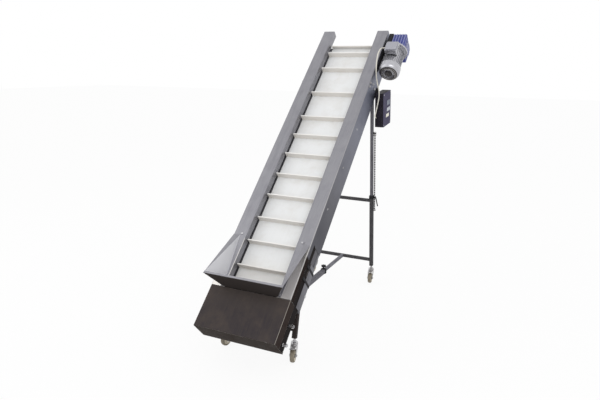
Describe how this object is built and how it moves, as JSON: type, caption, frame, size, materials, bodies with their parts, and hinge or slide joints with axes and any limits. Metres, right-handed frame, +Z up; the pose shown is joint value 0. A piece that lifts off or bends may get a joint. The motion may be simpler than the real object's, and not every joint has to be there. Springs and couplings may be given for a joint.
{
  "type": "mobile incline conveyor",
  "caption": "Mobile incline belt conveyor: cleated white belt between folded rails, feed hopper, side gearmotor and a telescopic castor stand.",
  "frame": {"origin": "on the floor, below the middle of the box round the whole conveyor", "axes": "+Z up; +Y back along the incline, from the boot and hopper towards the discharge end; +X across the belt, towards the gearmotor's side"},
  "size_m": [0.667, 1.8264, 1.8087],
  "materials": {
    "stainless": "brushed",
    "boot_steel": "brushed dark",
    "belt": "matt",
    "frame_tube": "satin",
    "zinc": "zinc plated",
    "black_plastic": "matt",
    "gear_paint": "gloss",
    "motor_alu": "cast and painted silver",
    "box_paint": "satin",
    "cable": "matt",
    "tread": "matt",
    "keys": "satin"
  },
  "bodies": {
    "conveyor": {"rails": "stainless", "boot_sides": "boot_steel", "boot_cover": "boot_steel", "hopper": "stainless", "belt_bed": "stainless", "cross_ties": "frame_tube", "lower_tubes": "frame_tube", "tube_straps": "black_plastic", "belt": "belt", "head_drum": "stainless", "tail_drum": "stainless", "head_bearings": "motor_alu", "take_up_studs": "zinc", "stand_pivots": "zinc", "gearbox": "gear_paint", "torque_arm": "black_plastic", "motor": "motor_alu", "fan_cowl": "motor_alu", "terminal_box": "motor_alu", "motor_cable": "cable", "cable_glands": "black_plastic", "control_box": "box_paint", "control_keys": "keys", "control_bracket": "black_plastic"},
    "inner_posts": {"inner_posts": "frame_tube", "stay_rod": "zinc"},
    "rear_stand": {"rear_frame": "frame_tube", "post_collars": "black_plastic", "rear_stems": "zinc", "brace_inner": "frame_tube"},
    "front_stand": {"front_frame": "frame_tube", "front_stems": "zinc", "brace_outer": "frame_tube", "brace_knob": "black_plastic"},
    "fork_front_left": {"fork_front_left": "zinc", "brake_front_left": "zinc"},
    "wheel_front_left": {"wheel_front_left": "tread"},
    "fork_front_right": {"fork_front_right": "zinc", "brake_front_right": "zinc"},
    "wheel_front_right": {"wheel_front_right": "tread"},
    "fork_rear_left": {"fork_rear_left": "zinc", "brake_rear_left": "zinc"},
    "wheel_rear_left": {"wheel_rear_left": "tread"},
    "fork_rear_right": {"fork_rear_right": "zinc", "brake_rear_right": "zinc"},
    "wheel_rear_right": {"wheel_rear_right": "tread"}
  },
  "joints": [
    {"name": "post_hinge", "type": "hinge", "parent": "conveyor", "child": "inner_posts", "pos_m": [-0.0665, 0.52352, 1.41884], "axis": [1, 0, 0], "range_deg": [-4.2, 4.2]},
    {"name": "post_extension", "type": "slide", "parent": "inner_posts", "child": "rear_stand", "axis": [0, 0.1246, -0.9922], "range_m": [-0.076, 0.076]},
    {"name": "front_leg_hinge", "type": "hinge", "parent": "conveyor", "child": "front_stand", "pos_m": [-0.0665, -0.55844, 0.35416], "axis": [1, 0, 0], "range_deg": [-4.2, 4.2]},
    {"name": "swivel_front_left", "type": "hinge", "parent": "front_stand", "child": "fork_front_left", "pos_m": [-0.271, -0.60816, 0.1], "axis": [0, 0, 1], "continuous": true},
    {"name": "wheel_spin_front_left", "type": "hinge", "parent": "fork_front_left", "child": "wheel_front_left", "pos_m": [-0.27786, -0.64044, 0.0375], "axis": [0.9781, -0.2079, 0], "continuous": true},
    {"name": "swivel_front_right", "type": "hinge", "parent": "front_stand", "child": "fork_front_right", "pos_m": [0.138, -0.60816, 0.1], "axis": [0, 0, 1], "continuous": true},
    {"name": "wheel_spin_front_right", "type": "hinge", "parent": "fork_front_right", "child": "wheel_front_right", "pos_m": [0.14598, -0.64018, 0.0375], "axis": [0.9703, 0.2419, 0], "continuous": true},
    {"name": "swivel_rear_left", "type": "hinge", "parent": "rear_stand", "child": "fork_rear_left", "pos_m": [-0.294, 0.68616, 0.1], "axis": [0, 0, 1], "continuous": true},
    {"name": "wheel_spin_rear_left", "type": "hinge", "parent": "fork_rear_left", "child": "wheel_rear_left", "pos_m": [-0.3042, 0.65477, 0.0375], "axis": [0.9511, -0.309, 0], "continuous": true},
    {"name": "swivel_rear_right", "type": "hinge", "parent": "rear_stand", "child": "fork_rear_right", "pos_m": [0.161, 0.68616, 0.1], "axis": [0, 0, 1], "continuous": true},
    {"name": "wheel_spin_rear_right", "type": "hinge", "parent": "fork_rear_right", "child": "wheel_rear_right", "pos_m": [0.16559, 0.65348, 0.0375], "axis": [0.9903, 0.1392, 0], "continuous": true}
  ],
  "couplings": [
    {"joint": "post_hinge", "follows": "post_extension", "rad_per_m": -0.91704},
    {"joint": "front_leg_hinge", "follows": "post_extension", "rad_per_m": -0.91704}
  ]
}
